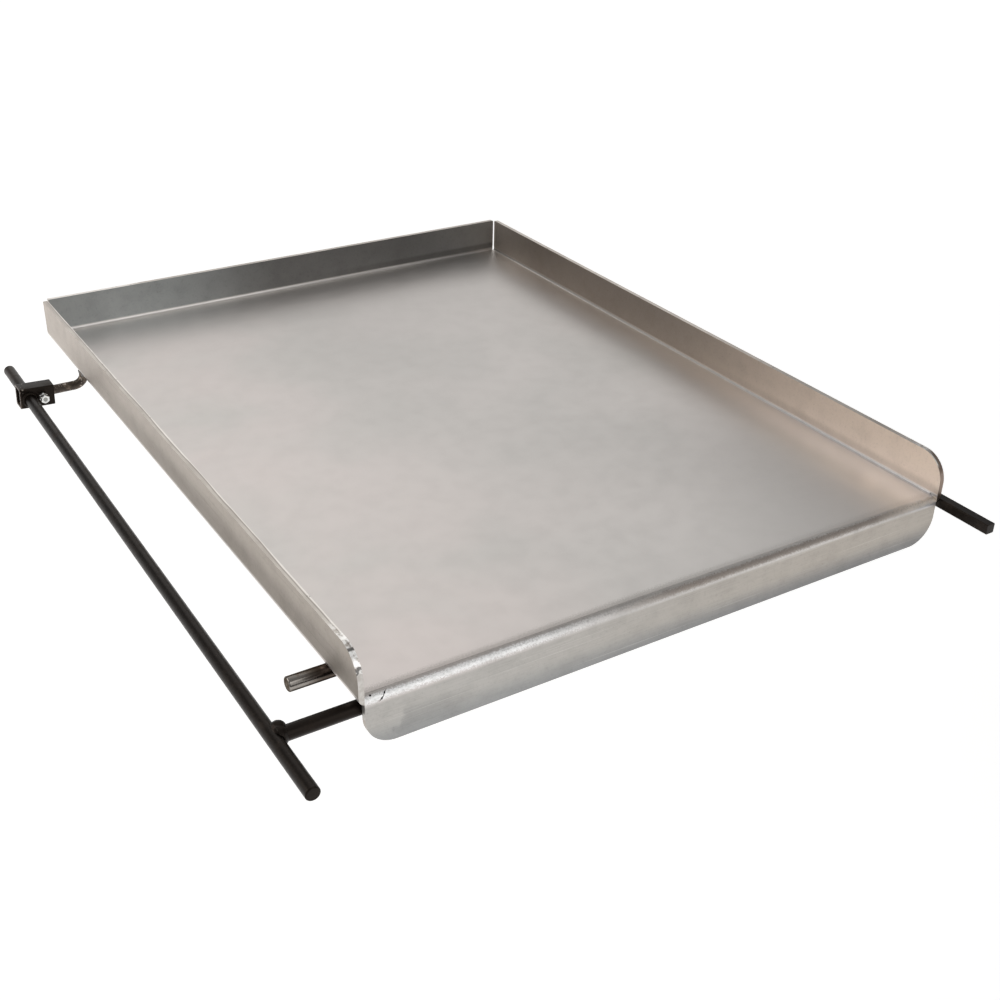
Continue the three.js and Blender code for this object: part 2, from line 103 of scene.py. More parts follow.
# ---- material nodes ------------------------------------------------------------------------------------
class Finish:
    """A material, with short calls for the nodes that its finish is made of."""

    def __init__(self, name, metallic, **fixed):
        self.material = bpy.data.materials.new(name)
        self.material.use_nodes = True
        self.tree = self.material.node_tree
        self.shader = self.tree.nodes["Principled BSDF"]
        self.shader.inputs["Metallic"].default_value = metallic
        for socket, value in fixed.items():
            self.shader.inputs[socket.replace("_", " ")].default_value = value

    def node(self, kind, **settings):
        made = self.tree.nodes.new("ShaderNode" + kind)
        for name, value in settings.items():
            setattr(made, name, value)
        return made

    def feed(self, socket, value):
        """Links an output to the socket, or sets the socket to a plain value."""
        if isinstance(value, bpy.types.NodeSocket):
            self.tree.links.new(value, socket)
        else:
            socket.default_value = value

    def place(self, stretch=(1, 1, 1)):
        """Millimetres of the pan's layout, stretched along each axis."""
        where = self.node("TexCoord").outputs["Object"]
        mapping = self.node("Mapping", vector_type="POINT")
        scale = [s / MM for s in stretch]
        self.feed(mapping.inputs["Vector"], where)
        mapping.inputs["Scale"].default_value = scale
        mapping.inputs["Location"].default_value = [-a * s for a, s in zip(LAYOUT, scale)]
        return mapping.outputs["Vector"]

    def axes(self):
        split = self.node("SeparateXYZ")
        self.feed(split.inputs[0], self.place())
        return split.outputs

    def math(self, operation, a, b=0.0):
        made = self.node("Math", operation=operation)
        self.feed(made.inputs[0], a)
        self.feed(made.inputs[1], b)
        return made.outputs[0]

    def times(self, first, *others):
        for other in others:
            first = self.math("MULTIPLY", first, other)
        return first

    def rise(self, value, low, high, to_low=0.0, to_high=1.0):
        """A smooth step: to_low below low, to_high above high."""
        made = self.node("MapRange", interpolation_type="SMOOTHSTEP")
        for socket, number in zip(("Value", "From Min", "From Max", "To Min", "To Max"),
                                  (value, low, high, to_low, to_high)):
            self.feed(made.inputs[socket], number)
        return made.outputs[0]

    def fall(self, value, low, high):
        return self.rise(value, low, high, 1.0, 0.0)

    def noise(self, size, detail=3.0, stretch=(1, 1, 1), rough=0.5, twist=0.0):
        """Noise whose blotches are about "size" millimetres across."""
        made = self.node("TexNoise")
        self.feed(made.inputs["Vector"], self.place(stretch))
        made.inputs["Scale"].default_value = 1.0 / size
        made.inputs["Detail"].default_value = detail
        made.inputs["Roughness"].default_value = rough
        made.inputs["Distortion"].default_value = twist
        return made.outputs["Fac"]

    def blend(self, share, a, b, mode="MIX"):
        made = self.node("Mix", data_type="RGBA", blend_type=mode)
        self.feed(made.inputs[0], share)
        self.feed(made.inputs[6], a)
        self.feed(made.inputs[7], b)
        return made.outputs[2]

    def level(self, share, a, b):
        """A number that runs from a to b as share goes from 0 to 1."""
        made = self.node("Mix", data_type="FLOAT")
        self.feed(made.inputs[0], share)
        self.feed(made.inputs[2], a)
        self.feed(made.inputs[3], b)
        return made.outputs[0]

    def relief(self, *layers):
        """Bump from (height, depth in millimetres) layers."""
        normal = None
        for height, depth in layers:
            bump = self.node("Bump")
            bump.inputs["Distance"].default_value = 1.0
            self.feed(bump.inputs["Height"], self.math("MULTIPLY", height, depth * MM))
            if normal is not None:
                self.feed(bump.inputs["Normal"], normal)
            normal = bump.outputs[0]
        self.feed(self.shader.inputs["Normal"], normal)

    def finish(self, colour, roughness):
        self.feed(self.shader.inputs["Base Color"], colour)
        self.feed(self.shader.inputs["Roughness"], roughness)
        return self.material


def plate_steel():
    """Bare hot-rolled plate: smooth and cloudy on the cooking floor, grainier on the folded sides, brushed
    along the lip, with a polished, grainy fold at the front. The tone of each face is fitted to how it looks
    from the front left, so it holds some of the light that falls there as painted light and shade: lighter
    patches on the floor, walls and lip painted lighter or darker as they are lit, a painted highlight on the
    fold, and painted shade behind the fold and in the folds at the walls' feet."""
    f = Finish("plate_steel", 1.0)
    x, y, z = f.axes()
    cloud = f.noise(170, 2.0, twist=0.4)
    mottle = f.noise(20, 4.0, rough=0.6)
    speck = f.noise(2.6, 3.0, rough=0.7)
    grain = f.noise(0.8, 3.0, rough=0.7)
    brushed = f.noise(1.0, 3.0, stretch=(0.02, 1, 1), rough=0.7)
    lines_x = f.rise(f.noise(0.9, 1.0, stretch=(0.003, 1, 1)), 0.66, 0.72)
    lines_y = f.rise(f.noise(0.8, 1.0, stretch=(1, 0.004, 1)), 0.68, 0.74)
    on_side = f.rise(z, 1.0, 4.0)
    on_lip = f.fall(z, -8.5, -5.0)
    on_front = f.fall(y, 6.0, 8.0)
    frayed = f.rise(f.noise(1.1, 3.0, rough=0.75), 0.3, 0.7, -1.2, 1.2)
    on_bend = f.times(
        f.fall(f.math("ADD", y, frayed), 3.2, 5.4),
        f.rise(f.math("ADD", z, frayed), -6.2, -2.8),
        f.fall(z, 0.4, 1.0),
    )
    on_back = f.times(f.rise(y, INNER_DEPTH - 3, INNER_DEPTH - 1), on_side)
    on_right = f.times(f.rise(x, INNER_WIDTH - 3, INNER_WIDTH - 1), on_side)
    on_left = f.times(f.fall(x, 1.0, 3.0), on_side)
    plain = f.math("MAXIMUM", on_side, on_front)

    colour = f.blend(f.rise(cloud, 0.34, 0.66), (0.668, 0.612, 0.590, 1), (0.632, 0.608, 0.583, 1))
    # Painted light: the cooking floor darkens towards the right, fitted to the light and reflections on it.
    colour = f.blend(f.times(f.rise(x, -60, 340), 0.8), colour, (0.505, 0.487, 0.471, 1))
    # Painted light: a lighter band on the floor along the back wall and a lighter patch at the front right,
    # their edges wobbled by the cloud.
    drift = f.rise(cloud, 0.2, 0.8, -14, 14)
    across, along = f.math("ADD", x, drift), f.math("SUBTRACT", y, drift)
    painted_rear_light = f.times(f.rise(along, 645, 770), f.fall(across, 410, 535))
    colour = f.blend(painted_rear_light, colour, (0.84, 0.803, 0.773, 1))
    painted_front_right_light = f.times(f.fall(along, -20, 190), f.rise(across, 130, 430), f.fall(across, 430, 560))
    colour = f.blend(painted_front_right_light, colour, (0.66, 0.636, 0.615, 1))
    # Painted light: a lighter strip on the floor along the right wall, standing in for that wall's
    # reflection.
    painted_right_strip = f.blend(f.fall(y, 120, 360), (0.720, 0.685, 0.650, 1), (0.735, 0.725, 0.735, 1))
    colour = f.blend(f.rise(x, 532, 566), colour, painted_right_strip)
    # The back wall: painted reflection, lighter at both ends and darker in the middle, with painted shade
    # along its foot on the right.
    back = f.blend(f.rise(x, 105, 290), (0.335, 0.352, 0.350, 1), (0.172, 0.169, 0.163, 1))
    back = f.blend(f.rise(x, 430, 580), back, (0.350, 0.345, 0.335, 1))
    back = f.blend(f.times(f.fall(z, 8, 12), f.rise(x, 300, 480), 0.5), back, (0.085, 0.080, 0.075, 1))
    # The right wall: brown, painted lighter at the front and darker towards the rear as the light falls on
    # it, lighter again near the rear corner, with painted shade along its foot at the front.
    right = f.blend(f.rise(y, 60, 430), (0.735, 0.632, 0.548, 1), (0.340, 0.292, 0.255, 1))
    right = f.blend(f.rise(y, 640, 745), right, (0.520, 0.465, 0.420, 1))
    right = f.blend(f.times(f.fall(z, 6, 13), f.fall(y, 160, 470), 0.42), right, (0.30, 0.25, 0.21, 1))
    left = f.blend(f.rise(y, 30, 700), (0.450, 0.408, 0.365, 1), (0.560, 0.512, 0.468, 1))
    # The left wall is browner at the front; its darkening towards the bottom, most towards the front, is
    # painted shade.
    left = f.blend(f.times(f.fall(z, 12, 33), f.rise(y, 330, 700, 0.42, 0.05)), left, (0.10, 0.085, 0.07, 1))
    # The lip: lighter along the top, darker towards the bottom and the right; tones fitted to the light on
    # it, so partly painted shade.
    upper = f.blend(f.rise(x, 60, 480), (0.475, 0.458, 0.434, 1), (0.445, 0.408, 0.366, 1))
    lower = f.blend(f.rise(x, 60, 480), (0.340, 0.342, 0.338, 1), (0.245, 0.243, 0.240, 1))
    lip = f.blend(f.rise(z, -43, -22), lower, upper)
    stain = f.times(f.rise(f.math("ADD", x, f.rise(mottle, 0.3, 0.7, -14, 14)), 20, 30), f.fall(x, 48, 96))
    stained = f.times(stain, f.fall(z, -24, -16), f.rise(z, -44, -30), 0.34)
    lip = f.blend(stained, lip, (0.20, 0.205, 0.205, 1))
    for mask, tone in ((on_back, back), (on_right, right), (on_left, left), (on_lip, lip)):
        colour = f.blend(mask, colour, tone)
    under = f.times(f.fall(z, -4.4, -3.2), f.rise(y, 9, 12))
    colour = f.blend(f.times(under, f.math("SUBTRACT", 1.0, on_lip)), colour, (0.33, 0.305, 0.28, 1))
    # The front fold: polished on the left and heat-browned to the right, its tones raised into a painted
    # highlight, white on the left and tan at the right end.
    bend_tone_and_highlight = f.blend(f.rise(x, 120, 300), (1.0, 0.995, 0.985, 1), (0.370, 0.326, 0.292, 1))
    bend_tone_and_highlight = f.blend(f.rise(x, 490, 560), bend_tone_and_highlight, (0.72, 0.65, 0.58, 1))
    grit = f.rise(f.noise(1.2, 3.0, stretch=(0.7, 1, 1), rough=0.75), 0.42, 0.68)
    bend_tone_and_highlight = f.blend(f.times(grit, f.level(f.rise(y, 0.6, 3.2), 0.16, 0.42)), bend_tone_and_highlight, (0.20, 0.19, 0.175, 1))
    colour = f.blend(on_bend, colour, bend_tone_and_highlight)
    # Painted shade: a dark band on the floor just behind the front fold's highlight, stronger on the left.
    fringe = f.math("ADD", y, f.times(frayed, 2.0))
    hollow = f.times(
        f.fall(fringe, 8.5, 15),
        f.rise(y, 3.0, 5.4),
        f.fall(z, 0.4, 1.0),
        f.rise(x, 240, 420, 0.50, 0.20),
    )
    colour = f.blend(f.times(hollow, f.level(grit, 0.85, 1.15)), colour, (0.19, 0.172, 0.156, 1))
    # Painted shade: a dark line in the folds at the walls' feet, stronger towards the right.
    fold = f.times(f.rise(z, 0.15, 0.6), f.fall(z, 1.5, 2.6))
    colour = f.blend(f.times(fold, f.rise(x, 180, 400, 0.1, 0.5)), colour, (0.10, 0.09, 0.08, 1))

    wear = f.math("SUBTRACT", 1.0, f.times(f.rise(mottle, 0.40, 0.74), f.level(plain, 0.015, 0.08)))
    wear = f.math("SUBTRACT", wear, f.times(f.rise(speck, 0.5, 0.8), plain, 0.16))
    wear = f.math("SUBTRACT", wear, f.times(f.rise(brushed, 0.42, 0.72), on_lip, 0.10))
    wear = f.math("SUBTRACT", wear, f.times(lines_y, on_left, 0.30))
    colour = f.blend(1.0, colour, f.blend(wear, (0, 0, 0, 1), (1, 1, 1, 1)), "MULTIPLY")
    colour = f.blend(f.times(lines_x, on_lip, 0.36), colour, (0.80, 0.78, 0.75, 1))

    rough = f.level(plain, 0.37, 0.42)
    rough = f.math("ADD", rough, f.times(f.rise(mottle, 0.3, 0.7, -0.5, 0.5), 0.04))
    rough = f.math("ADD", rough, f.times(f.rise(cloud, 0.3, 0.7, -0.5, 0.5), 0.05))
    rough = f.math("ADD", rough, f.times(on_left, 0.17))
    f.relief(
        (f.times(grain, plain), 0.03),
        (f.times(grit, on_bend), 0.06),
        (f.times(brushed, on_lip), 0.015),
        (f.noise(60, 1.0), 0.10),
    )
    return f.finish(colour, rough)


def worn_edge():
    """The plate's sheared edges: rubbed and bruised at the front, brown on the right and round the lip, with
    painted highlights along the top of the left wall and the front of the right wall's top.
    """
    f = Finish("worn_edge", 1.0)
    x, y, z = f.axes()
    wavy = f.math("ADD", z, f.rise(f.noise(5, 2.0), 0.3, 0.7, -2.0, 2.0))
    streak = f.rise(f.noise(7, 3.0, rough=0.7), 0.40, 0.62)
    tone = f.rise(f.noise(30, 3.0), 0.38, 0.62)
    colour = f.blend(tone, (0.47, 0.430, 0.392, 1), (0.56, 0.520, 0.478, 1))
    wander = f.math("ADD", x, f.rise(f.noise(12, 2.0, stretch=(1, 0.15, 1)), 0.3, 0.7, -0.5, 0.5))
    # Along the left wall's top: a dark line, and a rubbed inner edge painted up to a highlight.
    on_top = f.times(f.rise(z, 34, 36), f.fall(x, 90, 110))
    top_dark_line = f.times(f.rise(wander, -2.3, -1.9), f.fall(wander, -1.5, -1.2), on_top)
    colour = f.blend(f.times(top_dark_line, 0.7), colour, (0.26, 0.235, 0.21, 1))
    colour = f.blend(f.times(f.rise(wander, -1.1, -0.8), on_top), colour, (0.80, 0.765, 0.725, 1))
    front = f.fall(y, 22, 60)
    colour = f.blend(f.times(front, streak), colour, (1.0, 0.99, 0.97, 1))
    colour = f.blend(f.times(front, f.fall(wavy, 21, 24), 0.8), colour, (0.50, 0.475, 0.445, 1))
    low_bruise = f.times(f.rise(wavy, 22.5, 24), f.fall(wavy, 26, 28))
    high_bruise = f.times(f.rise(y, 12.6, 13.6), f.fall(y, 14.8, 16.2), f.rise(z, 30, 32))
    bruise = f.times(f.math("MAXIMUM", low_bruise, high_bruise), f.fall(y, 18, 21), f.fall(x, 90, 110))
    colour = f.blend(f.times(bruise, 0.9), colour, (0.10, 0.095, 0.09, 1))
    colour = f.blend(f.times(f.rise(x, 300, 400), f.fall(y, 12, 30), 0.85), colour, (0.20, 0.135, 0.10, 1))
    # Painted highlight: a white line along the right wall's inner top edge at the front.
    rim = f.times(
        f.rise(x, INNER_WIDTH - 1, INNER_WIDTH - 0.5),
        f.fall(x, INNER_WIDTH + 0.7, INNER_WIDTH + 1.4),
    )
    colour = f.blend(f.times(rim, f.fall(y, 15, 20), f.rise(z, 28, 31)), colour, (1.0, 0.99, 0.97, 1))
    colour = f.blend(f.fall(z, -7, 1), colour, (0.34, 0.30, 0.265, 1))
    nicks = f.rise(f.noise(6, 2.0, rough=0.75), 0.66, 0.72)
    colour = f.blend(f.times(nicks, 0.6), colour, (0.20, 0.175, 0.155, 1))
    f.relief((f.noise(1.6, 3.0), 0.07))
    return f.finish(colour, f.level(f.noise(6, 2.0), 0.24, 0.42))


def black_paint():
    """Thin semi-matt black paint, a little lumpy and dusty, browner at the rear, burnt off and spattered at
    the clamp tube's left end."""
    f = Finish("black_paint", 0.0, Specular_IOR_Level=0.19, Specular_Tint=(1.0, 0.82, 0.70, 1))
    x, y, _ = f.axes()
    dust = f.rise(f.noise(14, 4.0, rough=0.65), 0.48, 0.76)
    rub = f.rise(f.noise(3.2, 4.0, rough=0.7), 0.63, 0.71)
    spatter = f.rise(f.noise(2.6, 2.0, rough=0.6), 0.62, 0.66)
    colour = f.blend(dust, (0.0030, 0.0022, 0.0018, 1), (0.0120, 0.0085, 0.0065, 1))
    colour = f.blend(f.times(f.rise(y, 652, 690), 0.7), colour, (0.026, 0.0185, 0.0145, 1))
    colour = f.blend(f.times(rub, 0.5), colour, (0.046, 0.031, 0.023, 1))
    on_tube = f.times(f.rise(y, 629, 631), f.fall(y, 646, 649))
    burnt = f.times(f.fall(x, -71.0, -68.5), on_tube)
    colour = f.blend(f.times(burnt, 0.75), colour, (0.10, 0.070, 0.052, 1))
    spattered = f.times(f.fall(x, -67, -61), on_tube, spatter)
    colour = f.blend(spattered, colour, (0.36, 0.32, 0.28, 1))
    f.relief((f.noise(1.4, 3.0), 0.045), (f.noise(6, 2.0), 0.14))
    return f.finish(colour, f.level(dust, 0.32, 0.50))


def bright_bar():
    """Dark oily drawn bar, streaked along its length, darkened below with painted shade and brown near the
    pan.
    """
    f = Finish("bright_bar", 1.0, Specular_Tint=(0.30, 0.28, 0.26, 1))
    x, _, z = f.axes()
    streak = f.noise(2.2, 2.0, stretch=(0.03, 1, 1), rough=0.55)
    fine = f.noise(0.5, 2.0, stretch=(0.02, 1, 1))
    rust = f.rise(f.noise(7, 4.0, rough=0.7), 0.56, 0.74)
    colour = f.blend(f.rise(streak, 0.35, 0.7), (0.150, 0.138, 0.126, 1), (0.34, 0.315, 0.290, 1))
    colour = f.blend(f.times(rust, 0.75), colour, (0.115, 0.070, 0.045, 1))
    colour = f.blend(f.times(f.rise(x, -24, -6), 0.85), colour, (0.060, 0.042, 0.032, 1))
    # Painted shade: the stub's underside is darkened.
    sooty = f.times(f.fall(z, -14.0, -11.5), f.rise(x, -34, -31), 0.88)
    colour = f.blend(sooty, colour, (0.022, 0.020, 0.018, 1))
    f.relief((streak, 0.012), (fine, 0.010))
    return f.finish(colour, f.level(streak, 0.16, 0.27))


def mill_scale():
    """Unpainted bar: brown-black mill scale with pale rubbed spots."""
    f = Finish("mill_scale", 0.75)
    blotch = f.rise(f.noise(7, 4.0, rough=0.65), 0.42, 0.66)
    rubbed = f.rise(f.noise(3.5, 3.0, rough=0.75), 0.58, 0.66)
    colour = f.blend(blotch, (0.055, 0.044, 0.036, 1), (0.165, 0.128, 0.098, 1))
    colour = f.blend(f.times(rubbed, 0.8), colour, (0.52, 0.475, 0.43, 1))
    f.relief((f.noise(1.4, 4.0, rough=0.7), 0.08))
    return f.finish(colour, f.level(blotch, 0.36, 0.56))


def zinc_plate():
    """Bright zinc plate, faintly cloudy, with painted shade in the hollow of the screw's head."""
    f = Finish("zinc_plate", 1.0)
    x, y, z = f.axes()
    cloud = f.noise(2.4, 3.0)
    colour = f.blend(cloud, (0.86, 0.86, 0.83, 1), (0.66, 0.67, 0.67, 1))
    # Painted shade in the shallow hollow of the screw's head.
    across, up = f.math("SUBTRACT", x, SCREW_AXIS.x), f.math("SUBTRACT", z, SCREW_AXIS.z)
    from_axis = f.math("SQRT", f.math("ADD", f.times(across, across), f.times(up, up)))
    hollow_shade = f.times(f.fall(from_axis, 1.8, 2.7), f.fall(y, HEAD_FRONT + 0.4, HEAD_FRONT + 0.6), 0.85)
    colour = f.blend(hollow_shade, colour, (0.20, 0.20, 0.185, 1))
    f.relief((f.noise(0.7, 3.0), 0.012))
    return f.finish(colour, f.level(cloud, 0.20, 0.36))


def weld_metal():
    """Bare weld metal, straw and grey from the heat, with sooty toes."""
    f = Finish("weld_metal", 0.85)
    heat = f.noise(9, 3.0, rough=0.6)
    soot = f.rise(f.noise(3.0, 4.0, rough=0.7), 0.50, 0.72)
    colour = f.blend(f.rise(heat, 0.35, 0.65), (0.26, 0.215, 0.165, 1), (0.165, 0.160, 0.160, 1))
    colour = f.blend(f.times(soot, 0.8), colour, (0.040, 0.035, 0.031, 1))
    f.relief((f.noise(0.9, 4.0, rough=0.7), 0.05))
    return f.finish(colour, f.level(soot, 0.34, 0.66))


# The table top glows with the first strength within the first distance of the layout's origin, in
# millimetres, and with the second beyond the second.
GLOW_DISTANCES = (1500, 8000)
GLOW_STRENGTHS = (0.42, 0.72)


def pale_floor():
    """A pale table top that glows a little, and more so far away, so that it stays even to its far edge."""
    f = Finish("pale_floor", 0.0, Specular_IOR_Level=0.1)
    x, y, _ = f.axes()
    away = f.math("SQRT", f.math("ADD", f.times(x, x), f.times(y, y)))
    glow = f.rise(away, *GLOW_DISTANCES, *GLOW_STRENGTHS)
    f.shader.inputs["Emission Color"].default_value = (1, 1, 1, 1)
    f.feed(f.shader.inputs["Emission Strength"], glow)
    return f.finish(f.blend(f.noise(900, 2.0), (0.93, 0.93, 0.93, 1), (0.95, 0.95, 0.95, 1)), 0.85)


FINISHES = {
    "plate_steel": plate_steel(),
    "worn_edge": worn_edge(),
    "black_paint": black_paint(),
    "bright_bar": bright_bar(),
    "mill_scale": mill_scale(),
    "zinc_plate": zinc_plate(),
    "weld_metal": weld_metal(),
}
SLOT_OF = {entry["node"]: entry["material_slot"] for entry in frame["record"]["subparts"]}
PLAIN_NODES = set(frame["nodes"])
BODY_OF = {node: body for body, nodes in frame["record"]["behaviour"]["bodies"].items() for node in nodes}


# ---- pieces --------------------------------------------------------------------------------------------
# Edges sharper than this many degrees stay creased: on a plain piece, a threaded one and a weld bead.
PLAIN_CREASE = 35.0
THREAD_CREASE = 28.0
BEAD_CREASE = 60.0
BEVEL_FROM = 32.0  # degrees between two faces before the edge between them is rounded
BEVEL_SEGMENTS = 3
FLAT_WITHIN = 0.6  # degrees between two faces that are merged into one


def shade(made, crease=PLAIN_CREASE):
    """Smooths a piece's faces up to its creases."""
    for face in made.data.polygons:
        face.use_smooth = True
    made.data.set_sharp_from_angle(angle=math.radians(crease))


def declare(made, node):
    """Puts a piece on its CAD node's body, hides that node and takes it off the list of plain nodes."""
    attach(made, BODY_OF[node])
    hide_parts(node)
    PLAIN_NODES.discard(node)


def placed(name, mesh, node):
    """A piece in the scene with a mesh and the finish of its node's slot."""
    made = bpy.data.objects.new(name, mesh)
    bpy.context.scene.collection.objects.link(made)
    made.data.materials.append(FINISHES[SLOT_OF[node]])
    return made


def settled(made):
    """Turns a piece's modifiers into its mesh."""
    graph = bpy.context.evaluated_depsgraph_get()
    mesh = bpy.data.meshes.new_from_object(made.evaluated_get(graph))
    made.modifiers.clear()
    made.data = mesh


def mesh_from(name, build):
    """A mesh made by build(bm), with its faces turned outwards."""
    bm = bmesh.new()
    build(bm)
    bmesh.ops.remove_doubles(bm, verts=bm.verts, dist=1e-7)
    bmesh.ops.recalc_face_normals(bm, faces=bm.faces)
    mesh = bpy.data.meshes.new(name)
    bm.to_mesh(mesh)
    bm.free()
    return mesh


def cad_mesh(name, node):
    """A CAD node's shape with its flat faces merged."""
    def build(bm):
        bm.from_mesh(frame["nodes"][node].data)
        bmesh.ops.remove_doubles(bm, verts=bm.verts, dist=2e-6)
        bmesh.ops.dissolve_limit(bm, angle_limit=math.radians(FLAT_WITHIN), verts=bm.verts, edges=bm.edges)

    return mesh_from(name, build)


def round_edges(made, edge):
    """Rounds a piece's sharp edges to "edge" millimetres, and gives the modifier that does it."""
    bevel = made.modifiers.new("rounded edges", "BEVEL")
    bevel.width = edge * MM
    bevel.segments = BEVEL_SEGMENTS
    bevel.limit_method = "ANGLE"
    bevel.angle_limit = math.radians(BEVEL_FROM)
    bevel.miter_outer = "MITER_ARC"
    bevel.harden_normals = True
    return bevel


def refined(name, node, edge):
    """A CAD node's shape with every sharp edge rounded to "edge" millimetres."""
    made = placed(name, cad_mesh(name, node), node)
    shade(made)
    round_edges(made, edge)
    declare(made, node)


SHEARED_TOLERANCE = 0.35  # millimetres between a cut edge's measured width and the plate's thickness
SHEARED_EDGE = 0.6  # the rounding of the plate's edges, in millimetres
FLAT_WEIGHT = 60  # how strongly the large faces pull the normals, so that they look flat


def is_sheared(face):
    """Whether a face is part of the sheet's cut edge, which is as wide as the plate is thick."""
    half_round = sum(edge.calc_length() for edge in face.edges) / 2
    root = math.sqrt(max(half_round ** 2 - 4 * face.calc_area(), 0))
    sides = ((half_round - root) / 2 / MM, (half_round + root) / 2 / MM)
    return any(abs(side - PLATE) < SHEARED_TOLERANCE for side in sides)


# The ends of a short tear across the front fold, which turns halfway, and of a pit beside it.
TEARS = (
    ((10.8, 0.15, -5.9), (16.8, 2.0, -2.2)),
    ((15.0, 1.3, -3.0), (19.2, 5.0, -0.33)),
    ((5.5, 3.4, -1.1), (7.1, 4.8, -0.4)),
)


def open_tear(made, start, end):
    """Cuts a thin spindle out of the front fold between two points of its surface."""
    middle = (start + end) / 2
    outwards = Vector((0, middle.y - OUTER_BEND, middle.z + OUTER_BEND)).normalized()
    sideways = outwards.cross(end - start).normalized()
    waist = [middle + outwards, middle + sideways, middle - outwards, middle - sideways]

    def build(bm):
        tips = [bm.verts.new(mm(*point)) for point in (start, end)]
        ring = [bm.verts.new(mm(*point)) for point in waist]
        for k in range(4):
            for tip in tips:
                bm.faces.new((tip, ring[k], ring[(k + 1) % 4]))

    cutter = bpy.data.objects.new("tear", mesh_from("tear", build))
    cutter.data.materials.append(FINISHES["black_paint"])
    bpy.context.scene.collection.objects.link(cutter)
    tear = made.modifiers.new("tear", "BOOLEAN")
    tear.operation = "DIFFERENCE"
    tear.solver = "EXACT"
    tear.material_mode = "TRANSFER"
    tear.object = cutter
    settled(made)
    bpy.data.objects.remove(cutter)


def fold_pan():
    """The folded plate, with its sheared edges rounded and worn."""
    made = placed("pan_plate", cad_mesh("pan_plate", "folded_pan"), "folded_pan")
    made.data.materials.append(FINISHES["worn_edge"])
    bm = bmesh.new()
    bm.from_mesh(made.data)
    for face in bm.faces:
        face.material_index = int(is_sheared(face))
    bm.to_mesh(made.data)
    bm.free()
    shade(made)
    round_edges(made, SHEARED_EDGE).material = 1
    for start, end in TEARS:
        open_tear(made, Vector(start), Vector(end))
    even = made.modifiers.new("flat faces stay flat", "WEIGHTED_NORMAL")
    even.keep_sharp = True
    even.weight = FLAT_WEIGHT
    settled(made)
    declare(made, "folded_pan")


def lay_heap(mesh, middle, radii):
    """Adds a lump of weld metal to a mesh."""
    bm = bmesh.new()
    bm.from_mesh(mesh)
    lump = Matrix.Translation(mm(*middle)) @ Matrix.Diagonal([radius * MM for radius in radii] + [1])
    bmesh.ops.create_icosphere(bm, subdivisions=3, radius=1.0, matrix=lump)
    bm.to_mesh(mesh)
    bm.free()


def rippled(name, node, along, pitch=1.9, depth=0.45, voxel=0.35, swell=0.45, heap=None):
    """A weld bead laid in overlapping ripples. along(x, y, z) is how far along the bead a point is, in
    millimetres, and "swell" makes it run into the pieces that it joins. "heap" is the middle and the radii
    of a lump laid on it."""
    made = placed(name, cad_mesh(name, node), node)
    if heap:
        lay_heap(made.data, *heap)
    remesh = made.modifiers.new("even grid", "REMESH")
    remesh.mode = "VOXEL"
    remesh.voxel_size = voxel * MM
    settled(made)
    bm = bmesh.new()
    bm.from_mesh(made.data)
    bmesh.ops.smooth_vert(
        bm, verts=bm.verts, factor=0.5, use_axis_x=True, use_axis_y=True, use_axis_z=True
    )
    bm.normal_update()
    for vert in bm.verts:
        point = layout(vert.co)
        phase = along(*point) / pitch + 0.35 * noise.noise(point * 0.35)
        ripple = abs(math.sin(math.pi * phase)) ** 0.6
        lump = 0.5 + 0.5 * noise.noise(point * 0.55)
        vert.co += vert.normal * (swell - depth * (1 - ripple) * 0.7 - depth * 0.5 * lump) * MM
    bm.to_mesh(made.data)
    bm.free()
    shade(made, BEAD_CREASE)
    declare(made, node)


def tower(name, rings, sides, closed):
    """A mesh made of rings along +Y, in millimetres. Each ring is its y and its radius as a function of the
    angle from +Z."""
    def build(bm):
        loops = []
        for y, radius in rings:
            angles = [2 * math.pi * k / sides for k in range(sides)]
            loops.append([
                bm.verts.new((radius(a) * math.sin(a) * MM, y * MM, radius(a) * math.cos(a) * MM))
                for a in angles
            ])
        pairs = list(zip(loops, loops[1:])) + ([(loops[-1], loops[0])] if closed else [])
        for lower, upper in pairs:
            for k in range(sides):
                after = (k + 1) % sides
                bm.faces.new((lower[k], lower[after], upper[after], upper[k]))
        if not closed:
            for loop in (loops[0], loops[-1]):
                bm.faces.new(loop)

    return mesh_from(name, build)


def steady(radius):
    """The same radius all round."""
    return lambda angle: radius


def hexagonal(limit):
    """The radius of a hexagon with corners up and down, no further out than "limit"."""
    sector = math.pi / 3
    return lambda angle: min(HEX_ACROSS / 2 / math.cos(angle % sector - sector / 2), limit)


def threaded(y, major, depth, pitch):
    """The radius of a V thread at height y."""
    return lambda angle: major - depth * abs(2 * ((y / pitch - angle / (2 * math.pi)) % 1) - 1)


def hex_rings(front, both_ends):
    """The outside of a hexagon whose front face is at y = front, chamfered at both ends, or at the front with
    a thin washer face behind it."""
    flat = HEX_ACROSS / 2 - CHAMFER_INSET
    corner = HEX_ACROSS / math.sqrt(3)
    chamfer = [(rise, hexagonal(flat + rise * CHAMFER_SLOPE)) for rise in CHAMFER_RISES]
    rings = [(front, steady(flat))] + [(front + rise, radius) for rise, radius in chamfer]
    back = front + HEX_HEIGHT
    if both_ends:
        rings += [(back - rise, radius) for rise, radius in chamfer[::-1]]
        rings.append((back, steady(flat)))
    else:
        washer = back - WASHER_FACE
        rings += [(washer, hexagonal(corner)), (washer, steady(flat)), (back, steady(flat - 0.05))]
    return rings


